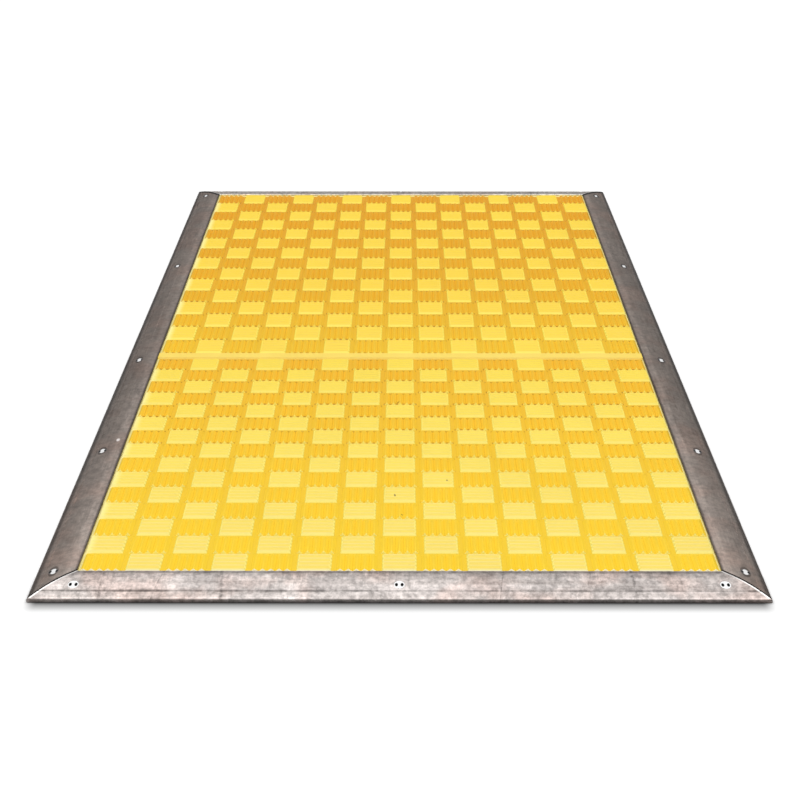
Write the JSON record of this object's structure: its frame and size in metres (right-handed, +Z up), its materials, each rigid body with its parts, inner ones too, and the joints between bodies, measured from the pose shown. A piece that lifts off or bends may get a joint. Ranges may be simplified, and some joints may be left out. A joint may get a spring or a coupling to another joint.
{
  "type": "safety mat",
  "caption": "Pressure-sensitive floor safety mat: yellow basket-weave mats joined by a smooth strip, with mitred aluminium ramp trims screwed along the edges.",
  "frame": {"origin": "centre of the footprint, on the floor", "axes": "+X to the right seen from the front ramp, +Y to the rear, +Z up"},
  "size_m": [0.828, 1.578, 0.0127],
  "materials": {
    "tread_vinyl": "moulded yellow vinyl, slight gloss, scattered dirt specks",
    "strip_vinyl": "smooth pale yellow vinyl",
    "contact_steel": "bare steel sheet",
    "insulation": "plain insulating foam strip",
    "base_vinyl": "dark grey vinyl sheet",
    "gland_rubber": "moulded rubber",
    "trim_aluminium": "mill finish extrusion, scuffed",
    "base_aluminium": "mill finish extrusion",
    "screw_steel": "bright zinc"
  },
  "bodies": {
    "root": {"front_tread_cover": "tread_vinyl", "front_upper_plate": "contact_steel", "front_separators": "insulation", "front_edge_seal": "insulation", "front_lower_plate": "contact_steel", "front_base_cover": "base_vinyl", "front_lead_gland": "gland_rubber", "rear_tread_cover": "tread_vinyl", "rear_upper_plate": "contact_steel", "rear_separators": "insulation", "rear_edge_seal": "insulation", "rear_lower_plate": "contact_steel", "rear_base_cover": "base_vinyl", "rear_lead_gland": "gland_rubber", "joining_strip": "strip_vinyl", "left_trim_cover": "trim_aluminium", "left_screw_rail": "base_aluminium", "left_trim_base": "base_aluminium", "left_trim_screws": "screw_steel", "right_trim_cover": "trim_aluminium", "right_screw_rail": "base_aluminium", "right_trim_base": "base_aluminium", "right_trim_screws": "screw_steel", "front_trim_cover": "trim_aluminium", "front_screw_rail": "base_aluminium", "front_trim_base": "base_aluminium", "front_trim_screws": "screw_steel", "rear_trim_cover": "trim_aluminium", "rear_screw_rail": "base_aluminium", "rear_trim_base": "base_aluminium", "rear_trim_screws": "screw_steel"}
  },
  "joints": []
}
